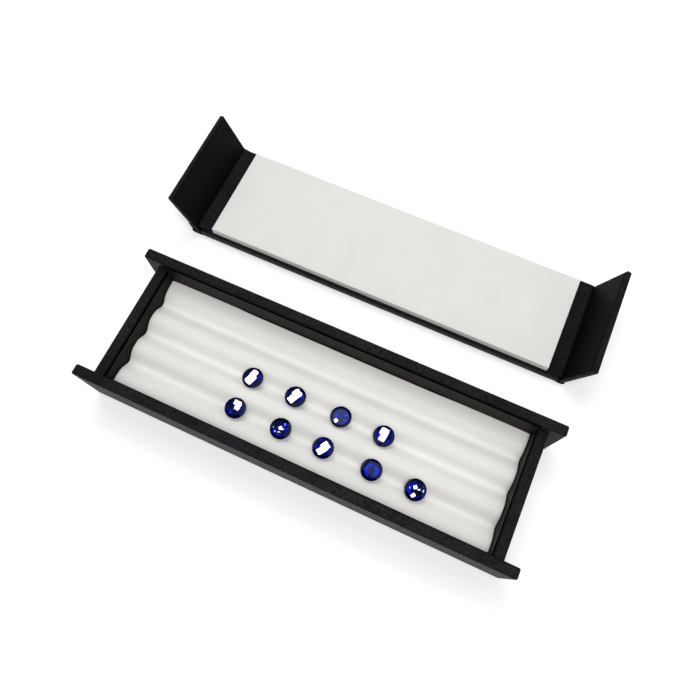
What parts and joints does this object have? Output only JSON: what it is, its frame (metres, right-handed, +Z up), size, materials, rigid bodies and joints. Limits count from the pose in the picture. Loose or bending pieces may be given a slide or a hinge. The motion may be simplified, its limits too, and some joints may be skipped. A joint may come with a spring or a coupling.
{
  "type": "mineral specimen box",
  "caption": "Open black leatherette gem tray with a grooved white insert and loose round stones, and its padded lid with two folding magnetic end flaps.",
  "frame": {"origin": "centre of the tray's underside, on the surface it stands on", "axes": "+X along the tray to its right end, +Y to the back where the lid lies, +Z up"},
  "size_m": [0.2362, 0.1625, 0.034],
  "materials": {
    "black_leatherette": "fine grained, satin",
    "white_leatherette": "smooth, matte",
    "grey_board": "raw board",
    "black_paper": "matte",
    "white_foam": "closed-cell foam",
    "magnet_nickel": "nickel plated",
    "blue_gem": "polished facets"
  },
  "bodies": {
    "tray": {"underside_lining": "black_paper", "base_board": "grey_board", "front_wall_board": "grey_board", "front_wall_cover": "black_leatherette", "back_wall_board": "grey_board", "back_wall_cover": "black_leatherette", "left_end_board": "grey_board", "left_end_cover": "black_leatherette", "left_end_magnets": "magnet_nickel", "right_end_board": "grey_board", "right_end_cover": "black_leatherette", "right_end_magnets": "magnet_nickel", "front_wall_lining": "black_paper", "back_wall_lining": "black_paper", "left_end_lining": "black_paper", "right_end_lining": "black_paper", "insert_foam": "white_foam", "insert_cover": "white_leatherette"},
    "lid": {"lid_board": "grey_board", "lid_cover": "black_leatherette", "lid_pad_foam": "white_foam", "lid_pad_cover": "white_leatherette", "left_lid_lining": "black_paper", "right_lid_lining": "black_paper", "left_fold": "black_leatherette", "right_fold": "black_leatherette"},
    "left_flap": {"left_flap_board": "grey_board", "left_flap_cover": "black_leatherette", "left_flap_lining": "black_paper", "left_flap_magnets": "magnet_nickel"},
    "right_flap": {"right_flap_board": "grey_board", "right_flap_cover": "black_leatherette", "right_flap_lining": "black_paper", "right_flap_magnets": "magnet_nickel"},
    "stone_1": {"blue_stone_1": "blue_gem"},
    "stone_2": {"blue_stone_2": "blue_gem"},
    "stone_3": {"blue_stone_3": "blue_gem"},
    "stone_4": {"blue_stone_4": "blue_gem"},
    "stone_5": {"blue_stone_5": "blue_gem"},
    "stone_6": {"blue_stone_6": "blue_gem"},
    "stone_7": {"blue_stone_7": "blue_gem"},
    "stone_8": {"blue_stone_8": "blue_gem"},
    "stone_9": {"blue_stone_9": "blue_gem"}
  },
  "joints": [
    {"name": "lid_turn_over", "type": "hinge", "parent": "tray", "child": "lid", "pos_m": [0, 0.04802, 0.02345], "axis": [1, 0, 0], "range_deg": [0, 180]},
    {"name": "left_flap_fold", "type": "hinge", "parent": "lid", "child": "left_flap", "pos_m": [-0.1087, 0.09685, 0.0005], "axis": [0, 1, 0], "range_deg": [-69, 21]},
    {"name": "right_flap_fold", "type": "hinge", "parent": "lid", "child": "right_flap", "pos_m": [0.1075, 0.09685, 0.0005], "axis": [0, -1, 0], "range_deg": [-73.5, 16.5]},
    {"name": "stone_1_slide", "type": "slide", "parent": "tray", "child": "stone_1", "axis": [1, 0, 0], "range_m": [-0.0575, 0.0062]},
    {"name": "stone_2_slide", "type": "slide", "parent": "tray", "child": "stone_2", "axis": [1, 0, 0], "range_m": [-0.0062, 0.0067]},
    {"name": "stone_3_slide", "type": "slide", "parent": "tray", "child": "stone_3", "axis": [1, 0, 0], "range_m": [-0.0067, 0.0058]},
    {"name": "stone_4_slide", "type": "slide", "parent": "tray", "child": "stone_4", "axis": [1, 0, 0], "range_m": [-0.0058, 0.0585]},
    {"name": "stone_5_slide", "type": "slide", "parent": "tray", "child": "stone_5", "axis": [1, 0, 0], "range_m": [-0.057, 0.0068]},
    {"name": "stone_6_slide", "type": "slide", "parent": "tray", "child": "stone_6", "axis": [1, 0, 0], "range_m": [-0.0068, 0.0057]},
    {"name": "stone_7_slide", "type": "slide", "parent": "tray", "child": "stone_7", "axis": [1, 0, 0], "range_m": [-0.0057, 0.0071]},
    {"name": "stone_8_slide", "type": "slide", "parent": "tray", "child": "stone_8", "axis": [1, 0, 0], "range_m": [-0.0071, 0.0056]},
    {"name": "stone_9_slide", "type": "slide", "parent": "tray", "child": "stone_9", "axis": [1, 0, 0], "range_m": [-0.0056, 0.0353]}
  ]
}
